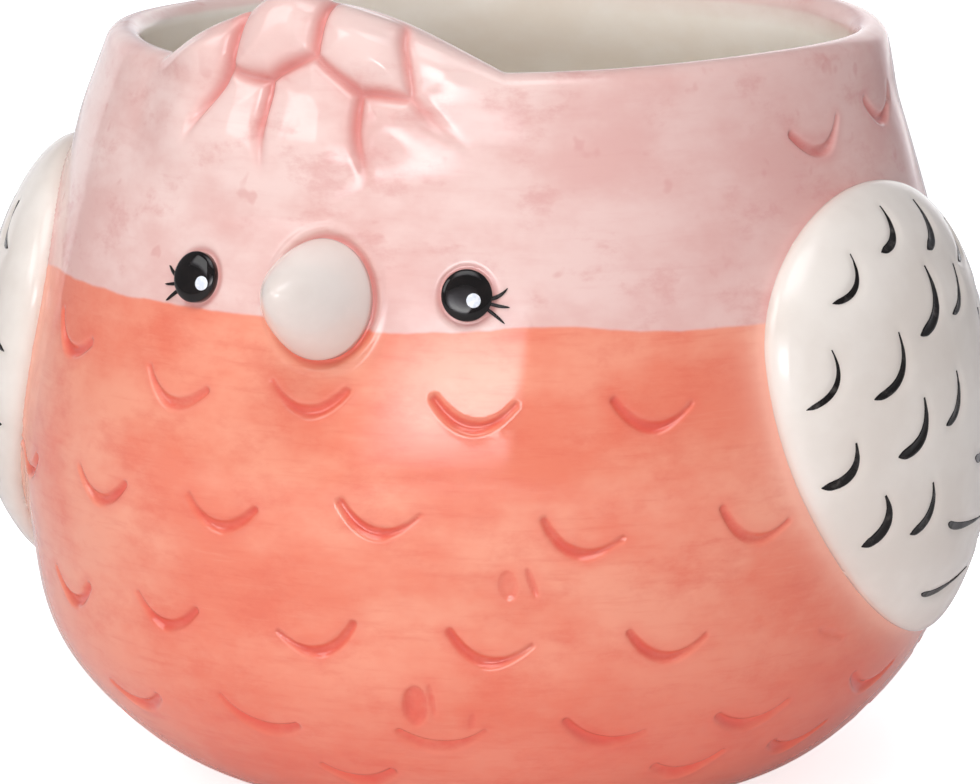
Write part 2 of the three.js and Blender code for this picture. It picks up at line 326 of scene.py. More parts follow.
def brushedGlaze():
    c = brushedColours
    softStep = {"interpolation_type": "SMOOTHSTEP"}
    material, tree, bsdf = startMaterial("brushed underglaze on stoneware", **stonewareGlaze)
    coords = add(tree, "TexCoord", output="Object")
    x, z = (add(tree, "SeparateXYZ", {"Vector": coords}, axis) for axis in "XZ")
    names = ("pool", "mark", "inside", "wingEdge", "thin")
    fields = [add(tree, "Attribute", output="Fac", attribute_name=name) for name in names]
    pool, mark, inside, wingEdge, thin = fields
    spans = {}
    for key, along in (("deepSideSpan", x), ("footSpan", z), ("dropSpan", x), ("dipSpan", x), ("dipEnd", x)):
        span = {"Value": along, "From Min": c[key][0] * mm, "From Max": c[key][1] * mm}
        spans[key] = add(tree, "MapRange", span, **softStep)
    clouds = patches(tree, 17, stretch=(0.6, 0.6, 1), detail=5, rough=0.6)
    blots = patches(tree, 6, stretch=(0.55, 0.55, 1), detail=5, rough=0.68, shift=5)
    streaks = patches(tree, 1.3, stretch=(0.12, 0.12, 1), detail=3, rough=0.6, shift=2)
    dabs = patches(tree, 5, detail=2, shift=9)
    # pink wash of the head
    pink = layOver(tree, c["pink"], c["pinkPale"], clouds, 0.38, 0.62)
    pink = layOver(tree, pink, c["pinkDeep"], blots, 0.52, 0.72, 0.5)
    pink = layOver(tree, pink, c["pinkDeep"], dabs, 0.66, 0.74, 0.4)
    pink = layOver(tree, pink, c["pinkDeep"], streaks, 0.5, 0.8, 0.16)
    pink = layOver(tree, pink, c["pinkPale"], thin, share=0.6, shape="LINEAR")
    # coral brushwork of the chest
    coral = layOver(tree, c["coral"], c["coralPale"], clouds, 0.36, 0.64)
    coral = layOver(tree, coral, c["coralDeep"], blots, 0.46, 0.74, 0.42)
    coral = layOver(tree, coral, c["coralDeep"], streaks, 0.5, 0.8, 0.3)
    coral = layOver(tree, coral, c["coralPale"], streaks, 0.46, 0.2, 0.3)
    # deeper, darker colour towards the bird's left and towards the foot
    deepSide, low = spans["deepSideSpan"], spans["footSpan"]
    pink = layOver(tree, pink, c["pinkDeep"], deepSide, share=c["deepSidePink"], shape="LINEAR")
    side = add(tree, "Math", {0: deepSide, 1: c["deepSideCoral"]}, operation="MULTIPLY")
    foot = add(tree, "Math", {0: deepSide, 1: c["lowDeepSide"], 2: c["lowCoral"]}, operation="MULTIPLY_ADD")
    deepening = add(tree, "Math", {0: low, 1: foot, 2: side}, operation="MULTIPLY_ADD")
    coral = layOver(tree, coral, c["coralDeep"], deepening, shape="LINEAR")
    # thin, pale colour along the wings, made paler still as painted light that offsets the shade the wings
    # cast
    coral = layOver(tree, coral, c["edgePeachAndLight"], wingEdge, share=0.8, shape="LINEAR")
    # colour run into marks and edges, blotchy in the marks, whose lighter patches are partly painted
    # highlights standing in for glints, and as a faint stain round them
    blotchyWithGlints = add(tree, "MapRange", {"Value": blots, "From Min": 0.05, "From Max": 0.62}, **softStep)
    filled = {"Value": mark, "From Min": 2.4, "From Max": 3.6, "To Max": blotchyWithGlints}
    stained = {"Value": mark, "From Min": 0.6, "From Max": 3.0, "To Max": 0.2}
    pooled = pool
    for span in (filled, stained):
        more = add(tree, "MapRange", span, **softStep)
        pooled = add(tree, "Math", {0: pooled, 1: more}, operation="MAXIMUM")
    pink = layOver(tree, pink, c["pinkPool"], pooled, shape="LINEAR")
    coral = layOver(tree, coral, c["coralPool"], pooled, shape="LINEAR")
    # the painted line between them, which wavers, drops to the bird's left and dips beside the beak
    dip = add(tree, "Math", {0: spans["dipSpan"], 1: spans["dipEnd"]}, operation="MULTIPLY")
    waver = patches(tree, 9)
    height = z
    for shift, far in ((waver, c["lineWaver"]), (spans["dropSpan"], c["lineDrop"]), (dip, c["lineDip"])):
        height = add(tree, "Math", {0: shift, 1: far * mm, 2: height}, operation="MULTIPLY_ADD")
    line = c["lineHeight"] + c["lineWaver"] / 2
    outside = layOver(tree, coral, pink, height, (line - c["lineSoft"]) * mm, (line + c["lineSoft"]) * mm)
    cream = layOver(tree, c["creamShade"], c["cream"], clouds, 0.35, 0.65)
    tree.links.new(layOver(tree, outside, cream, inside, shape="LINEAR"), bsdf.inputs["Base Color"])
    glazeRipple(tree, bsdf, 9, 0.05)
    return material


# ivory glaze: milky, slightly uneven in thickness, a touch warmer and darker where it pools, which also
# paints shade into the wings' grooves
def ivoryGlaze(name, pale, shade, pooled):
    material, tree, bsdf = startMaterial(name, **stonewareGlaze)
    pool = add(tree, "Attribute", output="Fac", attribute_name="pool")
    colour = layOver(tree, shade, pale, patches(tree, 16, detail=4), 0.35, 0.65)
    tree.links.new(layOver(tree, colour, pooled, pool, shape="LINEAR"), bsdf.inputs["Base Color"])
    glazeRipple(tree, bsdf, 8, 0.04)
    return material


# one colour mottled over another
def mottled(name, shader, under, over, size, low, high, detail=3.0, rough=0.5):
    material, tree, bsdf = startMaterial(name, **shader)
    pattern = patches(tree, size, detail=detail, rough=rough)
    tree.links.new(layOver(tree, under, over, pattern, low, high), bsdf.inputs["Base Color"])
    return material


# bare fired stoneware: dry, sandy and matt where the foot was wiped clean
def bareStoneware():
    material, tree, bsdf = startMaterial("bare fired stoneware", Roughness=0.85, IOR=1.5)
    grit = patches(tree, 0.8, detail=4, rough=0.7)
    tree.links.new(layOver(tree, "#e3d5c3", "#c9b59d", grit, 0.35, 0.7), bsdf.inputs["Base Color"])
    bump = add(tree, "Bump", {"Height": grit, "Strength": 0.6, "Distance": 0.08 * mm})
    tree.links.new(bump, bsdf.inputs["Normal"])
    return material


glazeBrushed = brushedGlaze()
glazeIvory = ivoryGlaze("ivory glaze on stoneware", "#f0e9df", "#e6ddd2", "#cfc4b8")
glazeBeak = ivoryGlaze("warm white glaze on stoneware", "#f2e9e0", "#e8dcd2", "#d2bdb2")
# black underglaze laid with a brush: uneven, so that grey shows in places, and less wet than the glaze
brushedOn = {**stonewareGlaze, "Roughness": 0.16, "Specular IOR Level": 0.25}
strokeBlack = mottled("black underglaze brush strokes", brushedOn, "#15110f", "#4a4643", 1.6, 0.5, 0.8)
# black gloss glaze: deep, even and wet
wetGloss = {**stonewareGlaze, "Roughness": 0.05, "Specular IOR Level": 0.36}
glazeBlack = mottled("black gloss glaze", wetGloss, "#0d0908", "#1a1412", 2.5, 0.4, 0.7)
# white enamel dot: opaque, thick and slightly grainy
dotEnamel = {**stonewareGlaze, "Roughness": 0.25}
enamelWhite = mottled("white enamel dot", dotEnamel, "#dfe6ee", "#f4f7fa", 0.5, 0.4, 0.65)
# moulded soft rubber: satin, faintly dusty
satin = {"Roughness": 0.6, "IOR": 1.52}
rubberGrey = mottled("moulded grey rubber", satin, "#d4d1ca", "#c2beb6", 3, 0.4, 0.7, detail=4, rough=0.65)
stonewareBare = bareStoneware()
print("materials made")

# wings, beak and eyes, set as the solids are: gap is the slip under a piece, sink how far its back goes in,
# fine the reach of finer cells round it, and roll, recess and stain are rings round its outline
wing = {"bearing": math.radians(78.4), "height": 70.7, "half": 27.6, "above": 21.8, "below": 44.4,
        "tipLean": 10.8, "crown": 7.8, "edge": 0.5, "gap": 0.3, "sink": 0.4, "cells": 160, "fine": 2.6,
        "grooveDepth": 0.6, "grooveWidth": 0.85, "grooveStainAndShade": 0.5,
        "drawnUp": 0.5, "drawnRun": 0.9, "paleRun": 2.4, "stain": (0.15, 0, 0.6)}
beak = {"height": 80.4, "half": 7.4, "halfHeight": 8.2, "crown": 14.6, "tipDrop": 0.6, "tipAside": 0.8,
        "edge": 0.5, "gap": 0.3, "sink": 1.2, "cells": 70, "fine": 4.5,
        "roll": (0.25, 1.5, 0.5), "recess": (0.55, 0.3, 0.55), "stain": (0.7, 0.2, 0.55)}
eye = {"height": 81.7, "reach": 20.7, "radius": 3.5, "crown": 0.95, "tilt": 0.08, "edge": 0.3, "gap": 0.3,
       "sink": 1.0, "cells": 36, "fine": 2.5, "recess": (0.25, 0.3, 0.45), "stain": (0.5, 0.3, 0.5)}
wingRadius, beakRadius, eyeRadius = (float(profileRadius(piece["height"])) for piece in (wing, beak, eye))
eyeBearing = eye["reach"] / eyeRadius


# how far a wing's middle line has swung towards its tip
def wingSwing(up):
    return np.where(up < 0, wing["tipLean"] * (up / wing["below"]) ** 2, 0)


# 0 at a wing's middle and 1 on its outline
def wingShare(across, up):
    reach = np.where(up > 0, wing["above"], wing["below"])
    return np.hypot((across - wingSwing(up)) / wing["half"], up / reach)


# run in mm from the outline of the nearer wing, negative on the wing
def wingRun(b, z):
    across, up = (np.sign(b) * b - wing["bearing"]) * wingRadius, z - wing["height"]
    share = wingShare(across, up)
    return (share - 1) * np.hypot(across - wingSwing(up), up) / np.maximum(share, 1e-6)


# impressed feather marks: smiling grooves in rows, pressed with a rounded tool, coral or pink run into them
featherMarks = {
    # bearing and height of each low point and the tilt, for the marks in front: five rows, then the nape's
    "front": [(-42, 68.0, -15), (-20, 64.2, -11), (-1, 65.2, -3), (19, 63.9, -4), (40, 63.2, -5),
              (-55, 47.2, -4), (-32, 48.2, -4), (-12, 47.8, -5), (8, 48.8, -7), (31, 46.1, -14),
              (52.5, 46.3, -14), (-42, 30.9, -3), (-21.5, 31.7, -5), (0.5, 31.0, 10), (20.5, 30.5, -10),
              (42, 30.1, -6), (-32, 17.1, 0), (-10, 18.1, -18), (15, 17.1, 3), (35, 17.4, -13),
              (56.5, 17.5, 4), (79, 18.9, -2), (-51, 11.5, -20), (2, 9.7, -1), (50, 10.0, 8),
              (69.5, 11.0, 8), (72, 98.0, 7), (91.5, 100.0, 3)],
    # rows behind: height, pitch, and bearings from and to; then how far bearing, height and tilt scatter
    "behind": [(65, 20, 130, 230), (48, 21, 122, 240), (31, 21, 125, 262), (18, 23, 102, 305),
               (10.5, 25, 95, 285), (99, 18, 127, 262), (84, 19, 126, 236)],
    "scatter": (1.0, 0.9, 6.0), "seed": 7,
    # bearing, height, tilt, half length, half width and depth of stray dents
    "dents": [(23.0, 41.7, 94, 1.5, 1.3, 0.35), (25.7, 42.1, 110, 1.9, 0.5, 0.5),
              (11.9, 23.6, 88, 2.4, 1.7, 0.6), (11.0, 23.8, 84, 1.8, 0.7, 0.35),
              (13.9, 24.6, 97, 2.2, 0.4, 0.5), (18.7, 21.3, 80, 1.1, 0.4, 0.35),
              (66.5, 29.9, -19, 2.6, 0.5, 0.3)],
    # marks flatten downwards through lowBand, are shorter below footBand, and keep clear of the wings
    "half": 5.7, "footHalf": 4.9, "footBand": 13, "sag": 3.4, "lowSag": 2.2, "lowBand": (25, 15),
    "middle": 2.0, "wingClear": 6.0, "bluntBearing": 5,
    # cut of a groove: its slope is the run over which it goes down, and lip a ring below it
    "width": 0.85, "depth": 0.75, "slope": (0.35, -0.55), "lip": (0.03, 0.55, 0.4), "lipEnd": 1.6,
    "reach": 4.2, "fine": 1.9,
}


def markList():
    m = featherMarks
    draw = np.random.default_rng(m["seed"])
    spots = list(m["front"])
    for z, pitch, first, last in m["behind"]:
        for degrees in np.arange(first, last + 1, pitch):
            turn, lift, tilt = draw.uniform(-1, 1, 3) * m["scatter"]
            spots.append(((degrees + turn + 180) % 360 - 180, z + lift, tilt))
    found = []
    for degrees, z, tilt in spots:
        b = math.radians(degrees)
        if wingRun(np.array(b), np.array(z + m["middle"])) < m["wingClear"]:
            continue
        sag = m["sag"] + (m["lowSag"] - m["sag"]) * float(smoothstep(*m["lowBand"], z))
        found.append({"b": b, "z": z, "tilt": math.radians(tilt), "sag": sag, "width": m["width"],
                      "half": m["footHalf"] if z < m["footBand"] else m["half"], "depth": m["depth"],
                      "blunt": 1 if degrees < m["bluntBearing"] else -1})
    for degrees, z, tilt, half, width, depth in m["dents"]:
        found.append({"b": math.radians(degrees), "z": z, "tilt": math.radians(tilt), "sag": 0, "half": half,
                      "width": width, "depth": depth, "blunt": 0})
    return found


marks = markList()


# places along and across a mark, and which of them lie about it
def markPlace(mark, b, z):
    across = ((b - mark["b"] + np.pi) % (2 * np.pi) - np.pi) * profileRadius(mark["z"])
    up = z - mark["z"]
    c, s = math.cos(mark["tilt"]), math.sin(mark["tilt"])
    u, v = across * c + up * s, up * c - across * s
    reach = featherMarks["reach"]
    return u, v, (np.abs(u) < mark["half"] + reach) & (v > -reach) & (v < mark["sag"] + reach)


# run in mm from a mark's edge, negative inside it, and whether the spot lies below its middle line
def markRun(mark, u, v):
    t = np.linspace(-1, 1, 40)
    line = np.column_stack([mark["half"] * t, mark["sag"] * t ** 2])
    if mark["blunt"]:
        # a crescent that is thin at one end and blunt at the other
        toBlunt = mark["blunt"] * t
        swell = 0.3 + 0.7 * smoothstep(-1, 0.1, toBlunt) * (1 - 0.45 * np.clip(toBlunt, 0, 1) ** 2)
    else:
        swell = np.sqrt(1 - 0.85 * t ** 2)
    reach = np.hypot(u[:, None] - line[:, 0], v[:, None] - line[:, 1]) - mark["width"] * swell
    return reach.min(1), smoothstep(0.1, -0.3, v - line[reach.argmin(1), 1])


# depth of the wall's carving, and where colour gathers
def carveWall(b, z):
    m = featherMarks
    depth, pool, mark = np.zeros_like(b), np.zeros_like(b), np.zeros_like(b)
    for item in marks:
        u, v, near = markPlace(item, b, z)
        run, below = markRun(item, u[near], v[near])
        pressed = below * ring(run, *m["lip"]) - item["depth"] * smoothstep(*m["slope"], run)
        depth[near] = np.where(run < m["lipEnd"], np.minimum(depth[near], 0) + pressed, depth[near])
        # 3 at a mark's edge, falling outside it and rising inside by as much as its depth allows
        mark[near] = np.maximum(mark[near], np.minimum(3 - run, 2.6 + item["depth"]))
    # the recess round the beak, with its rolled edge
    share = np.hypot(b * beakRadius / beak["half"], (z - beak["height"]) / beak["halfHeight"])
    run = (share - 1) * (beak["half"] + beak["halfHeight"]) / 2
    depth += ring(run, *beak["roll"]) - ring(run, *beak["recess"])
    pool = np.maximum(pool, ring(run, *beak["stain"]))
    # shallow rings round the eyes
    for side in (-1, 1):
        run = np.hypot((b - side * eyeBearing) * eyeRadius, z - eye["height"]) - eye["radius"]
        depth -= ring(run, *eye["recess"])
        pool = np.maximum(pool, ring(run, *eye["stain"]))
    # clay drawn up to the wings' edges
    run = wingRun(b, z)
    depth += wing["drawnUp"] * np.exp(-np.clip(run, 0, None) / wing["drawnRun"])
    wingEdge = np.exp(-np.clip(run, 0, None) / wing["paleRun"])
    pool = np.maximum(pool, ring(run, *wing["stain"]))
    return depth, {"pool": pool, "mark": mark, "wingEdge": wingEdge}


def shellLine():
    s = potShell
    mouth = lipMiddle - lipRadius
    lip = lipLine(np.linspace(lipStart, np.pi, 15)[1:])
    ahead = np.gradient(profileLine, axis=0)
    ahead /= np.hypot(*ahead.T)[:, None]
    inset = (profileLine - s["wall"] * np.column_stack([ahead[:, 1], -ahead[:, 0]]))[::-1]
    below, above = floorTop + s["floorFillet"], neckTop - s["mouthBand"] - s["bandEase"]
    inset = inset[(inset[:, 1] < above) & (inset[:, 1] > below)]
    last = inset[-1]
    corner = np.array([last[0] - (last[1] - floorTop), floorTop])
    inside = corner - np.array([s["floorFillet"], 0])
    t = np.linspace(0, 1, 12)[1:, None]
    fillet = (1 - t) ** 2 * last + 2 * t * (1 - t) * corner + t ** 2 * inside
    inner = resample(np.vstack([[mouth, neckTop - s["mouthBand"]], inset, fillet]), s["innerCell"])
    band = resample([[mouth, neckTop], [mouth, neckTop - s["mouthBand"]]], 2)[1:-1]
    foot, drain, roof, k = s["footRadius"], s["drainRadius"], s["footRecess"], s["footRound"]
    recess = foot - s["footWidth"]
    under = [(drain + k, floorTop), (drain, floorTop - k), (drain, roof + k), (drain + k, roof),
             (recess - 2, roof), (recess, roof - 1), (recess, k), (recess + k, 0), (foot - k, 0), (foot, k)]
    wallLine = np.vstack([profileLine, [profileRadius(lipLow), lipLow]])
    return np.vstack([resample(wallLine, s["cell"]), lip, band, inner, under])


# bearing, radius and height of the vertices
def turnedPlaces(bm):
    bm.verts.ensure_lookup_table()
    co = np.array([v.co for v in bm.verts])
    return np.arctan2(co[:, 0], -co[:, 1]), np.hypot(co[:, 0], co[:, 1]), co[:, 2]


def makeShell():
    s = potShell
    bm = turned(shellLine(), s["turns"], closed=True)
    # finer cells where marks, beak and eyes are pressed in
    b, r, z = turnedPlaces(bm)
    outer = (r > profileRadius(z) - 0.5) & (z > s["footEdge"]) & (z < lipLow)
    facing = np.abs(b) < s["faceBearing"]
    near, nearBehind = np.zeros(len(b), bool), np.zeros(len(b), bool)
    for item in marks:
        u, v, about = markPlace(item, b, z)
        about &= outer
        about[about] = markRun(item, u[about], v[about])[0] < featherMarks["fine"]
        near |= about & facing
        nearBehind |= about & ~facing
    near |= (np.hypot(b * s["faceRadius"], z - beak["height"]) < beak["half"] + beak["fine"]) & outer
    for side in (-1, 1):
        across = (b - side * eyeBearing) * s["faceRadius"]
        near |= (np.hypot(across, z - eye["height"]) < eye["radius"] + eye["fine"]) & outer
    nearBehind |= (np.abs(wingRun(b, z)) < wing["fine"]) & outer & ~near
    bm.verts.index_update()
    fine = [e for e in bm.edges if near[e.verts[0].index] and near[e.verts[1].index]]
    medium = [e for e in bm.edges if nearBehind[e.verts[0].index] and nearBehind[e.verts[1].index]]
    bmesh.ops.subdivide_edges(bm, edges=fine, cuts=3, use_grid_fill=True)
    bmesh.ops.subdivide_edges(bm, edges=[e for e in medium if e.is_valid], cuts=1, use_grid_fill=True)
    # back onto the turned form, then chest, crest, carving and the hand's unevenness
    b, r, z = turnedPlaces(bm)
    outer = (r > profileRadius(z) - 0.5) & (z > s["footEdge"] - 0.01) & (z < lipLow + 0.01)
    points = raisedPoint(b, np.where(outer, profileRadius(z), r), z)
    r, lifted = np.hypot(points[:, 0], points[:, 1]), points[:, 2]
    depth, attributes = carveWall(b, lifted)
    away = wallNormal(b, lifted) * np.where(outer, depth + handUneven(b, z), 0)[:, None]
    putAt(bm.verts, points + away)
    side = r - (profileRadius(lifted) - s["wall"] / 2)
    inside = np.where(z < s["footRecess"] + 0.1, r < s["footRadius"] - 1, smoothstep(-1.5, -2.5, side))
    attributes = {key: np.where(outer, values, 0) for key, values in attributes.items()}
    attributes["inside"] = np.where(outer, 0, inside)
    shell = finishPiece("pot_shell", bm, glazeBrushed, attributes,
                        nodes=("pot_body",))
    # the foot is wiped clean
    shell.data.materials.append(stonewareBare)
    for f in shell.data.polygons:
        if max(shell.data.vertices[i].co.z for i in f.vertices) < 0.55 * mm:
            f.material_index = 1


makeShell()

# wings: egg-shaped pillows, with a groove under each painted stroke
wingStrokes = {
    # across and up from the wing's middle, turn in degrees, length, half width and curl
    "marks": [(-5.2, 14.6, -8, 7.5, 0.7, 1), (4.8, 14.0, 0, 7.7, 0.9, 1), (-15.3, 9.0, -12, 8.0, 0.5, 1),
              (-1.3, 4.1, 0, 10.0, 0.95, 1), (7.0, 4.4, -8, 7.8, 0.6, 1), (-21.0, -3.7, 0, 8.6, 0.5, 1),
              (-10.6, -3.4, -6, 9.9, 0.7, 1), (1.7, -9.4, 0, 7.7, 0.7, 1), (-7.1, -12.1, -8, 8.9, 0.95, 1),
              (-18.7, -15.6, -8, 7.2, 0.8, 1), (-12.6, -23.7, 10, 7.3, 0.95, 1),
              (-4.6, -23.2, 0, 7.4, 0.8, 1), (6.5, -26.8, -92, 15.0, 0.6, 0.15),
              (5.4, -35.8, -78, 15.0, 0.55, 0.2), (14.5, -2.8, 8, 7.5, 0.8, 1),
              (10.8, -17.8, -60, 8.0, 0.7, 0.5), (14.0, 10.5, -6, 7.0, 0.7, 1), (21.0, 5.5, -10, 6.5, 0.6, 1),
              (20.5, -9.5, -35, 7.0, 0.8, 0.7), (19.0, -20.0, -65, 7.0, 0.7, 0.5),
              (17.5, -31.0, -85, 6.5, 0.6, 0.3)],
    # the bend's three points for a length of 1, the painted share of a half width, and the paint's film
    "bend": [(0.10, 0.5), (0.42, -0.16), (-0.36, -0.38)], "painted": 0.88, "stand": 0.1, "sink": 0.3,
    "steps": 28, "cells": (30, 6), "reach": 9,
}


def strokePath(across, up, tilt, length, curl):
    a, b, c = (np.array([x * curl, y]) * length for x, y in wingStrokes["bend"])
    t = np.linspace(0, 1, wingStrokes["steps"])[:, None]
    path = (1 - t) ** 2 * a + 2 * t * (1 - t) * b + t ** 2 * c
    angle = math.radians(tilt)
    turn = np.array([[math.cos(angle), -math.sin(angle)], [math.sin(angle), math.cos(angle)]])
    return path @ turn.T + np.array([across, up])


# each stroke's path and painted half width
strokes = [(strokePath(across, up, tilt, length, curl), half * wingStrokes["painted"])
           for across, up, tilt, length, half, curl in wingStrokes["marks"]]


# a stroke starts narrow, swells and ends round and blunt
def strokeWidth(t):
    swell = 0.2 + 0.8 * np.sin(0.78 * np.pi * np.clip(t, 0, 1) ** 1.3) ** 0.9
    return swell * np.sqrt(smoothstep(1.01, 0.9, t))


def wingStand(across, up):
    share = wingShare(across, up)
    rise = wing["edge"] + (wing["crown"] - wing["edge"]) * np.sqrt(np.clip(1 - share ** 2, 0, 1))
    groove = np.zeros_like(across)
    for path, _ in strokes:
        x, y = path.mean(0)
        near = (np.abs(across - x) < wingStrokes["reach"]) & (np.abs(up - y) < wingStrokes["reach"])
        if near.any():
            gap = np.hypot(across[near][:, None] - path[:, 0], up[near][:, None] - path[:, 1])
            # shallower and narrower towards the stroke's ends
            middle = np.sin(np.pi * gap.argmin(1) / (len(path) - 1))
            pressed = (0.3 + 0.7 * middle) * bell(gap.min(1), wing["grooveWidth"] * (0.7 + 0.5 * middle))
            groove[near] = np.maximum(groove[near], pressed)
    return wing["gap"] + rise - wing["grooveDepth"] * groove, groove


def onWing(side, across, up, stand):
    return onWall(side * (wing["bearing"] + across / wingRadius), wing["height"] + up, stand)


def makeWing(side, name, node):
    bm = bmesh.new()
    pools = []

    def place(grid, face):
        disc = squareToDome(grid)
        up = disc[:, 1] * np.where(disc[:, 1] > 0, wing["above"], wing["below"])
        across = disc[:, 0] * wing["half"] + wingSwing(up)
        stand, groove = wingStand(across, up)
        pools.append(groove * face)
        return onWing(side, across, up, stand if face else -wing["sink"])

    addPatch(bm, (wing["cells"], wing["cells"]), place)
    # the grooves beside the strokes take the pooled colour: partly glaze pooled there, partly painted shade
    stain = {"pool": np.concatenate(pools) * wing["grooveStainAndShade"]}
    finishPiece(name, bm, glazeIvory, stain, nodes=(node,))
    bm = bmesh.new()
    for path, half in strokes:
        ahead = np.gradient(path, axis=0)
        ahead /= np.hypot(*ahead.T)[:, None]
        t = np.linspace(0, 1, len(path))

        def placeStroke(grid, face):
            along = (grid[:, 0] + 1) / 2
            middle = np.column_stack([np.interp(along, t, path[:, k]) for k in (0, 1)])
            sideways = np.column_stack([-np.interp(along, t, ahead[:, 1]), np.interp(along, t, ahead[:, 0])])
            spot = middle + sideways * (grid[:, 1] * half * strokeWidth(along))[:, None]
            base = wingStand(spot[:, 0], spot[:, 1])[0]
            film = wingStrokes["stand"] * (1.6 - grid[:, 1] ** 2) if face else -wingStrokes["sink"]
            return onWing(side, spot[:, 0], spot[:, 1], base + film)

        addPatch(bm, wingStrokes["cells"], placeStroke)
    finishPiece(name + "_strokes", bm, strokeBlack)


makeWing(1, "wing_left", "left_wing")
makeWing(-1, "wing_right", "right_wing")


# beak: a blunt dome with its tip a little low and aside
def makeBeak():
    bm = bmesh.new()

    def place(grid, face):
        disc = squareToDisc(grid)
        share = np.clip(np.hypot(*disc.T), 0, 1)
        across = disc[:, 0] * beak["half"] - (1 - share) * beak["tipAside"]
        up = disc[:, 1] * beak["halfHeight"] - (1 - share) * beak["tipDrop"]
        rise = beak["gap"] + beak["edge"] + (beak["crown"] - beak["edge"]) * (1 - share ** 1.6) ** 0.9
        return onWall(across / beakRadius, beak["height"] + up, rise if face else -beak["sink"])

    addPatch(bm, (beak["cells"], beak["cells"]), place)
    finishPiece("beak_dome", bm, glazeBeak, nodes=("beak",))


makeBeak()

# eyes: black domes, each with a white dot and lashes brushed outwards
eyePaint = {"dotAcross": {1: 0.95, -1: 1.8}, "dotUp": -0.75, "dotRadius": 0.97, "dotBulge": 0.12,
            "dotStand": 0.02, "dotSink": 0.1, "dotCells": (16, 16),
            # angle at the root and at the end, reach and half width
            "lashes": [(-7, 10, 5.7, 0.3), (-19, -15, 6.1, 0.23), (-33, -36, 6.4, 0.23)],
            "lashFrom": 3.15, "lashStand": 0.09, "lashSink": 0.5, "lashCells": (16, 6)}


def onFace(side, across, up, stand):
    return onWall(side * eyeBearing + across / eyeRadius, eye["height"] + up, stand)


# a low dome that is turned a little aside
def eyeStand(across, up):
    share = np.clip(np.hypot(across, up) / eye["radius"], 0, 1)
    dome = (eye["crown"] - eye["edge"]) * (1 - share ** 4) ** 0.6
    return eye["gap"] + eye["edge"] + dome - eye["tilt"] * across


def makeEye(side, name, node):
    p = eyePaint
    bm = bmesh.new()

    def place(grid, face):
        across, up = (squareToDome(grid) * eye["radius"]).T
        return onFace(side, across, up, eyeStand(across, up) if face else -eye["sink"])

    addPatch(bm, (eye["cells"], eye["cells"]), place)
    finishPiece(name, bm, glazeBlack, nodes=(node,))
    bm = bmesh.new()

    def placeDot(grid, face):
        disc = squareToDisc(grid)
        across, up = (disc * p["dotRadius"] + np.array([p["dotAcross"][side], p["dotUp"]])).T
        film = p["dotStand"] + p["dotBulge"] * (1 - np.hypot(*disc.T) ** 2) if face else -p["dotSink"]
        return onFace(side, across, up, eyeStand(across, up) + film)

    addPatch(bm, p["dotCells"], placeDot)
    finishPiece(name + "_dot", bm, enamelWhite)
    bm = bmesh.new()
    for root, end, reachTo, half in p["lashes"]:

        def placeLash(grid, face):
            t = (grid[:, 0] + 1) / 2
            angle = np.radians(root + (end - root) * t ** 1.3)
            reach = p["lashFrom"] + (reachTo - p["lashFrom"]) * t
            width = half * grid[:, 1] * np.sqrt(np.sin(np.pi * np.clip(t * 0.75 + 0.24, 0, 1)))
            across = side * (reach * np.cos(angle) - width * np.sin(angle))
            up = reach * np.sin(angle) + width * np.cos(angle)
            film = p["lashStand"] * (1.4 - grid[:, 1] ** 2) if face else -p["lashSink"]
            return onFace(side, across, up, film)

        addPatch(bm, p["lashCells"], placeLash)
    finishPiece(name + "_lashes", bm, strokeBlack)


makeEye(1, "eye_left", "left_eye")
makeEye(-1, "eye_right", "right_eye")

# crest: swollen feathers parted by a net of cut grooves, running out into the head below
crest = {
    # along the rim from the crest's middle, and height
    "points": {"topRight": (-8.6, 128), "topMiddle": (3.6, 128), "topLeft": (13.2, 128),
               "joinRight": (-12.4, 110.6), "joinMiddle": (1.8, 113.2), "joinLeft": (15.7, 108.2),
               "forkRight": (-5.4, 108.8), "forkLeft": (8.5, 107.6), "hemRight": (-18.4, 97.5),
               "hemMiddleRight": (-4.6, 94.5), "hemMiddleLeft": (10.4, 93.5), "hemLeft": (25.6, 99.5)},
    # from, to, strength at each end
    "grooves": [("topRight", "joinRight", 1, 1), ("joinRight", "hemRight", 1, 0),
                ("joinRight", "forkRight", 0.8, 1), ("forkRight", "joinMiddle", 1, 0.9),
                ("topMiddle", "joinMiddle", 1, 1), ("joinMiddle", "forkLeft", 0.9, 1),
                ("forkLeft", "joinLeft", 1, 1), ("topLeft", "joinLeft", 1, 1), ("joinLeft", "hemLeft", 1, 0),
                ("forkRight", "hemMiddleRight", 1, 0), ("forkLeft", "hemMiddleLeft", 1, 0)],
    # its reach along the rim and up, and how its flanks, rows, hem and lip fade, each from and to
    "from": -40.0, "to": 40.0, "bottom": 90.0, "overLip": 165, "rightFlank": (-32, -17), "leftFlank": (29, 9),
    "swell": 3.6, "lowSwell": 2.2, "rows": (107, 112.5), "lipFade": (0, 4.6),
    "hem": 90.5, "hemRun": 11.0, "hemUp": 5.5, "hemShort": 2.0, "hemLeft": (2, 14),
    "lipEnd": 80, "topLipEnd": 45, "topAt": -4.0, "topSpan": 7.0,
    # feathers slope to the grooves, which are cut in with a small lip
    "puff": 5.6, "hollow": 0.5, "cutHalf": 1.2, "cutDepth": 0.85, "lip": 0.07,
    "cells": (240, 140), "skin": 0.012, "sink": 1.0, "ceiling": 121.4, "ceilingEase": 0.4,
}


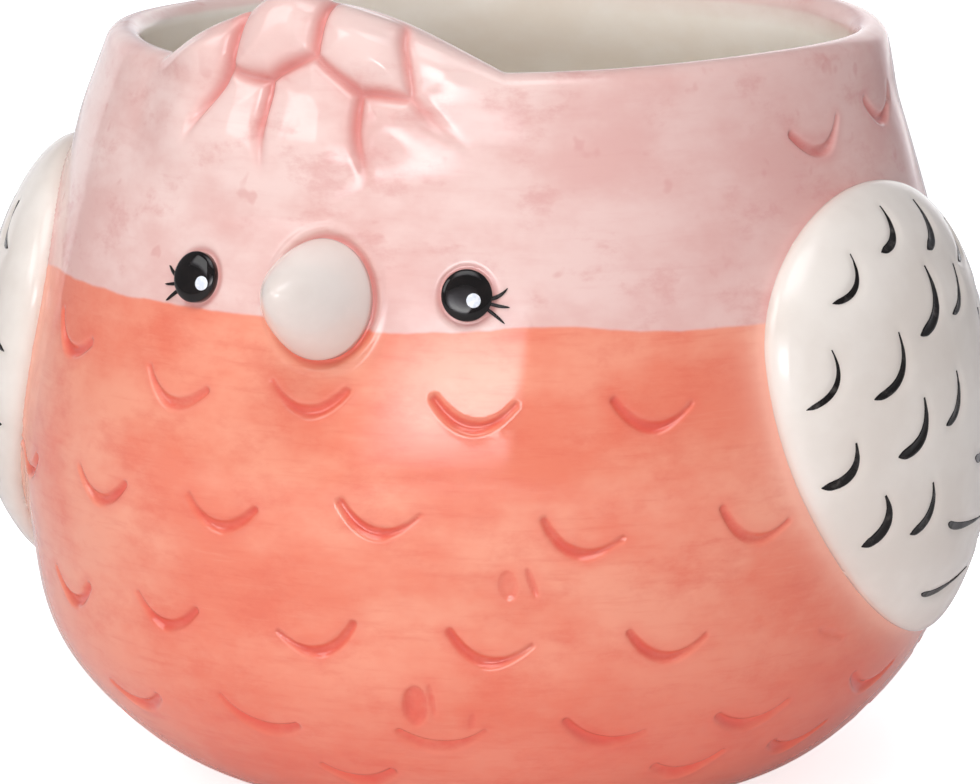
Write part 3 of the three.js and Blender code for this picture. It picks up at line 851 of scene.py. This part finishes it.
# swelling that fades at the sides, below and over the lip, parted by the grooves
def crestRelief(along, z, ahead):
    c = crest
    sides = smoothstep(*c["rightFlank"], along) * smoothstep(*c["leftFlank"], along)
    body = c["lowSwell"] + (c["swell"] - c["lowSwell"]) * smoothstep(*c["rows"], z)
    toLeft = smoothstep(*c["hemLeft"], along)
    hem = c["hem"] + c["hemUp"] * toLeft
    body = body * sides * smoothstep(hem, hem + c["hemRun"] - c["hemShort"] * toLeft, z)
    body = body * smoothstep(*c["lipFade"], ahead)
    full, cut, pool, lip = np.ones_like(z), np.zeros_like(z), np.zeros_like(z), np.zeros_like(z)
    # grooves drawn by hand waver a little
    along, z = along + 0.5 * np.sin(z / 2.3 + 1) * bell(z - 104, 12), z + 0.45 * np.sin(along / 2.1)
    for a, b, first, last in c["grooves"]:
        p, q = np.array(c["points"][a], float), np.array(c["points"][b], float)
        t = np.clip(((along - p[0]) * (q - p)[0] + (z - p[1]) * (q - p)[1]) / ((q - p) ** 2).sum(), 0, 1)
        gap = np.hypot(along - p[0] - t * (q - p)[0], z - p[1] - t * (q - p)[1])
        power = first + (last - first) * smoothstep(0.3, 1, t)
        slope = 1 - np.clip(gap / c["puff"], 0, 1)
        full = np.minimum(full, 1 - c["hollow"] * power * slope ** 2)
        cut = np.maximum(cut, power * (1 - smoothstep(0, c["cutHalf"], gap)))
        pool = np.maximum(pool, power * (0.28 * bell(gap, 1.7) + 0.5 * bell(gap, 0.7)))
        lip = np.maximum(lip, power * bell(gap - 1.6, 0.4))
    shape = body * full + (c["lip"] * lip - c["cutDepth"] * cut) * sides * smoothstep(0, 3, ahead)
    return shape, pool * sides * smoothstep(-1, 2, ahead)


def makeCrest():
    c = crest
    bm = bmesh.new()
    store = {"pool": [], "thin": [], "inside": []}
    wallLine = np.linspace(c["bottom"], lipLow, 60)
    lip = lipLine(np.linspace(lipStart, math.radians(c["overLip"]), 34)[1:])
    path = np.vstack([np.column_stack([profileRadius(wallLine), wallLine]), lip])
    run = np.concatenate([[0], np.cumsum(np.hypot(*np.diff(path, axis=0).T))])
    neckRun = run[len(wallLine) - 1]

    def spot(b, at):
        z = np.interp(at, run, path[:, 1])
        points = raisedPoint(b, np.interp(at, run, path[:, 0]), z)
        uneven = np.where(at < neckRun, handUneven(b, z), 0)
        return points + wallNormal(b, points[:, 2]) * uneven[:, None]

    def place(grid, face):
        along = c["from"] + (c["to"] - c["from"]) * (grid[:, 0] + 1) / 2
        at = run[-1] * (grid[:, 1] + 1) / 2
        b = (along + potShell["crestOffset"]) / potShell["rimRadius"]
        points = spot(b, at)
        across = spot(b + 0.003, at) - spot(b - 0.003, at)
        upward = spot(b, np.minimum(at + 0.2, run[-1])) - spot(b, np.maximum(at - 0.2, 0))
        out = np.cross(across, upward)
        out /= np.linalg.norm(out, axis=1, keepdims=True)
        neckHeight = spot(b, np.full_like(at, neckRun))[:, 2]
        height = np.where(at < neckRun, points[:, 2], neckHeight + at - neckRun)
        angle = np.degrees(lipStart + (at - neckRun) / lipRadius)
        lipEnd = c["lipEnd"] + c["topLipEnd"] * bell(along - c["topAt"], c["topSpan"])
        rise, pool = crestRelief(along, height, np.radians(lipEnd - angle) * lipRadius)
        store["pool"].append(pool * face)
        store["thin"].append(smoothstep(1.6, 3.4, rise) * face)
        store["inside"].append(smoothstep(120, 158, angle) * face)
        stand = rise + c["skin"] if face else np.full_like(rise, -c["sink"])
        points = points + out * stand[:, None]
        # the highest feathers flatten softly below the ceiling
        ease = c["ceilingEase"]
        over = points[:, 2] - c["ceiling"] + ease
        points[:, 2] -= np.where(over > 0, over - ease * (1 - np.exp(-np.clip(over, 0, None) / ease)), 0)
        return points

    addPatch(bm, c["cells"], place, sharpRim=True)
    attributes = {key: np.concatenate(parts) for key, parts in store.items()}
    nodes = [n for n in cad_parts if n.startswith("crest_feather")]
    finishPiece("crest", bm, glazeBrushed, attributes, nodes=nodes)


makeCrest()

# drain plug: turned section with rounded edges and a hollow to pinch it by
drainPlug = {"clearance": 0.3, "taper": 0.6, "stand": 1.0, "flangeOverlap": 4.0, "flange": 1.8,
             "hollowRadius": 3.6, "hollowDepth": 6.0, "bevel": 0.25, "turns": 64}


def makePlug():
    s, p = potShell, drainPlug
    shank, flange = s["drainRadius"] - p["clearance"], s["drainRadius"] + p["flangeOverlap"]
    flangeTop = s["footRecess"] - p["clearance"]
    low, top = flangeTop - p["flange"], floorTop + p["stand"]
    hollow, hollowTop, taper = p["hollowRadius"], low + p["hollowDepth"], p["taper"]
    section = [(0, hollowTop), (hollow, hollowTop), (hollow, low), (flange, low), (flange, flangeTop),
               (shank, flangeTop), (shank - taper, top - taper), (shank - 2 * taper, top), (0, top)]
    bm = turned(section, p["turns"], closed=False)
    bmesh.ops.recalc_face_normals(bm, faces=bm.faces)
    sharp = [e for e in bm.edges if len(e.link_faces) == 2 and e.calc_face_angle(0) > math.radians(25)]
    bmesh.ops.bevel(bm, geom=sharp, offset=p["bevel"], offset_type="OFFSET", affect="EDGES", segments=3,
                    profile=0.5, material=-1)
    putAt(bm.verts, np.array([v.co for v in bm.verts]))
    finishPiece("plug_rubber", bm, rubberGrey, body="plug", nodes=("drain_plug",))


makePlug()

# studio: white floor and surround, a large soft box in front, and weaker ones above, aside and behind
studio = {
    "azimuth": 21.45, "elevation": 11.02, "distance": 955.0, "targetHeight": 52.5, "lens": 235.95,
    "shiftX": -4.33 / 980, "shiftY": 21.15 / 980,
    "surround": 0.28, "mirrored": 0.2, "surroundTint": "#f3f2fb", "floorSeen": 0.75, "floorGlow": 0.08,
    # azimuth, elevation, distance, width, height, slant, brightness, and the soft share of its left, right,
    # low and top edges
    "panels": {"front": (7, 11, 1.3, 1.0, 0.6, 0.2, 7.5, (0.6, 0.06, 0.3, 0.66)),
               "high": (22, 63, 1.2, 1.2, 0.9, 0, 3.0, (0.3, 0.3, 0.3, 0.3)),
               "upper": (-40, 32, 1.2, 0.6, 0.6, 0, 2.9, (0.15, 0.04, 0.2, 0.1)),
               "left": (-138, 4, 1.2, 1.0, 1.2, 0, 0.42, (0.4, 0.04, 0.4, 0.3)),
               "behind": (-172, 8, 1.2, 0.9, 1.0, 0, 0.75, (0.3, 0.3, 0.3, 0.3))},
    "panelCells": 40, "floorSize": 4,
}


def direction(azimuth, elevation):
    a, e = math.radians(azimuth), math.radians(elevation)
    return Vector((math.sin(a) * math.cos(e), -math.cos(a) * math.cos(e), math.sin(e)))


# a cloth light panel, dimmer towards its soft edges
def makePanel(name, target, azimuth, elevation, distance, width, height, slant, bright, soft):
    cloth, tree, bsdf = startMaterial("lit white cloth " + name, Roughness=0.9)
    glow = add(tree, "Attribute", output="Fac", attribute_name="glow")
    strength = add(tree, "Math", {0: glow, 1: bright}, operation="MULTIPLY")
    tree.links.new(strength, bsdf.inputs["Emission Strength"])
    tree.links.new(layOver(tree, "#efe8f8", "#ffffff", glow, shape="LINEAR"), bsdf.inputs["Emission Color"])
    bm = bmesh.new()
    cells = studio["panelCells"]
    verts = bmesh.ops.create_grid(bm, x_segments=cells, y_segments=cells, size=1)["verts"]
    grid = np.array([v.co[:2] for v in verts])
    toward = direction(azimuth, elevation)
    across = Vector((0, 0, 1)).cross(toward).normalized()
    upward = toward.cross(across)
    for v, (x, y) in zip(verts, grid):
        aside = across * (x * width + slant * y * height) / 2
        v.co = target + toward * distance + aside + upward * y * height / 2
    share = (grid + 1) / 2
    level = smoothstep(0, soft[0], share[:, 0]) * smoothstep(0, soft[1], 1 - share[:, 0])
    level = level * smoothstep(0, soft[2], share[:, 1]) * smoothstep(0, soft[3], 1 - share[:, 1])
    panel = addObject("panel_" + name, bm, cloth, {"glow": level})
    panel.visible_camera = False


def makeCamera(target):
    scene = bpy.context.scene
    lens = bpy.data.cameras.new("camera")
    lens.sensor_width, lens.lens = 36.0, studio["lens"]
    lens.shift_x, lens.shift_y = studio["shiftX"], studio["shiftY"]
    lens.clip_start, lens.clip_end = 0.01, 100
    camera = bpy.data.objects.new("camera", lens)
    away = direction(studio["azimuth"], studio["elevation"])
    camera.location = target + away * studio["distance"] * mm
    camera.rotation_mode = "QUATERNION"
    camera.rotation_quaternion = (-away).to_track_quat("-Z", "Y")
    scene.collection.objects.link(camera)
    scene.camera = camera


# a dim, faintly blue surround that is white to the camera and, in part, to the gloss
def makeSurround():
    world = bpy.data.worlds.new("white surround")
    bpy.context.scene.world = world
    world.use_nodes = True
    tree = world.node_tree
    background = tree.nodes["Background"]
    seen, through, glossy = (add(tree, "LightPath", output="Is " + ray + " Ray")
                             for ray in ("Camera", "Transmission", "Glossy"))
    mirrored = add(tree, "Math", {0: glossy, 1: studio["mirrored"]}, operation="MULTIPLY")
    for more in (through, mirrored):
        seen = add(tree, "Math", {0: seen, 1: more}, operation="MAXIMUM")
    tint = layOver(tree, studio["surroundTint"], "#ffffff", seen, shape="LINEAR")
    tree.links.new(tint, background.inputs["Color"])
    strength = add(tree, "MapRange", {"Value": seen, "To Min": studio["surround"], "To Max": 1.0})
    tree.links.new(strength, background.inputs["Strength"])


# white paper floor: matt, with a faint tooth
def makeFloor():
    paper, tree, bsdf = startMaterial("matt white paper", Roughness=0.9)
    bsdf.inputs["Emission Color"].default_value = linear("#ffffff")
    seen = add(tree, "LightPath", output="Is Camera Ray")
    glow = add(tree, "MapRange",
               {"Value": seen, "To Min": studio["floorGlow"], "To Max": studio["floorSeen"]})
    tree.links.new(glow, bsdf.inputs["Emission Strength"])
    tooth = patches(tree, 40)
    tree.links.new(layOver(tree, "#f0f0f0", "#f4f4f4", tooth, shape="LINEAR"), bsdf.inputs["Base Color"])
    bm = bmesh.new()
    bmesh.ops.create_grid(bm, x_segments=1, y_segments=1, size=studio["floorSize"])
    floor = addObject("floor", bm, paper)


def makeStudio():
    target = Vector((0, axisY * mm, studio["targetHeight"] * mm))
    makeCamera(target)
    for name, panel in studio["panels"].items():
        makePanel(name, target, *panel)
    makeSurround()
    makeFloor()
    bpy.context.scene.view_settings.view_transform = "Standard"
    print("studio set")


makeStudio()
